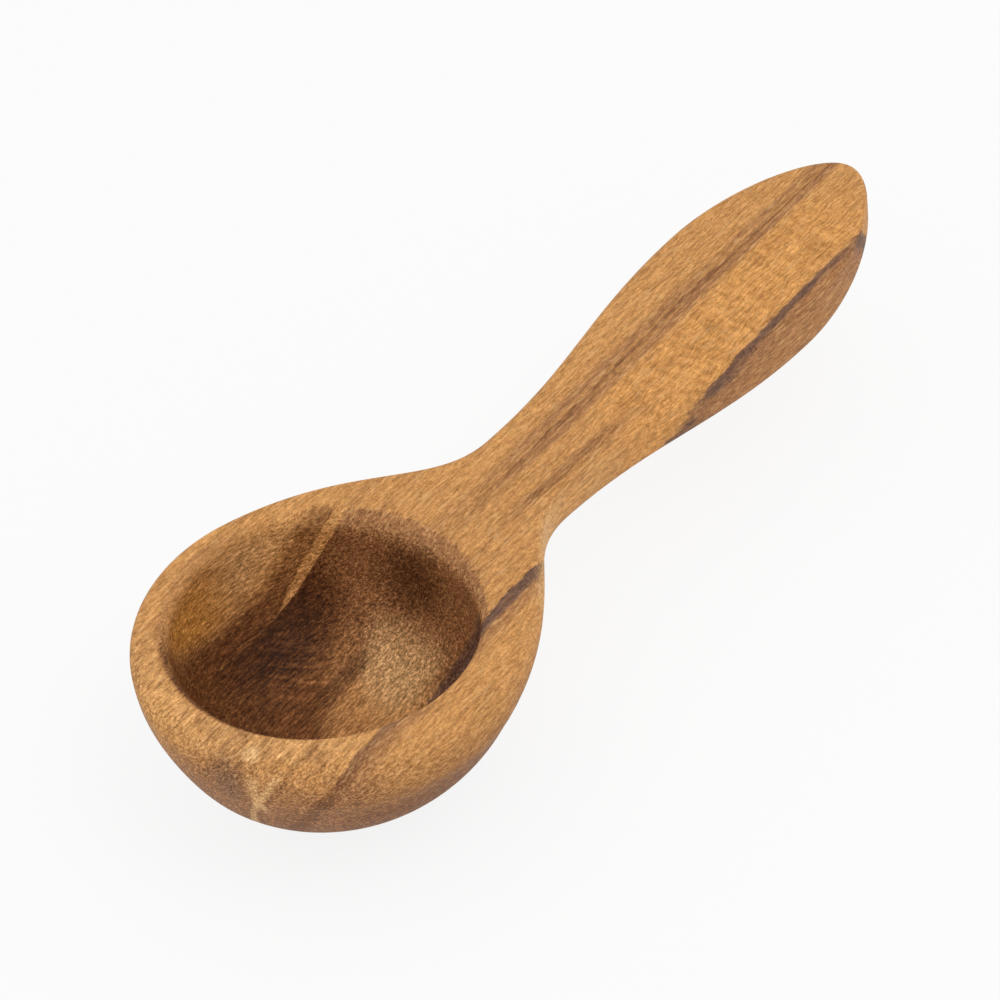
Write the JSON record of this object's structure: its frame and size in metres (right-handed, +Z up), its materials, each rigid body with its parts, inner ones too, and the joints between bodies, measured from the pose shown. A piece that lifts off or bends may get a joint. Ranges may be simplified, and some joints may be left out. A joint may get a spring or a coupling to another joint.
{
  "type": "wooden scoop",
  "caption": "Small wooden scoop with a round, flat-rimmed bowl and a waisted, paddle-shaped handle, for measuring out dry food.",
  "frame": {"origin": "middle of the flat under the bowl", "axes": "+X along the handle from bowl to tip, +Z up out of the bowl's mouth, square to the rim"},
  "size_m": [0.1199, 0.0458, 0.0237],
  "materials": {
    "oiled_wood": "oiled, satin"
  },
  "bodies": {
    "root": {"bowl": "oiled_wood", "handle": "oiled_wood"}
  },
  "joints": []
}
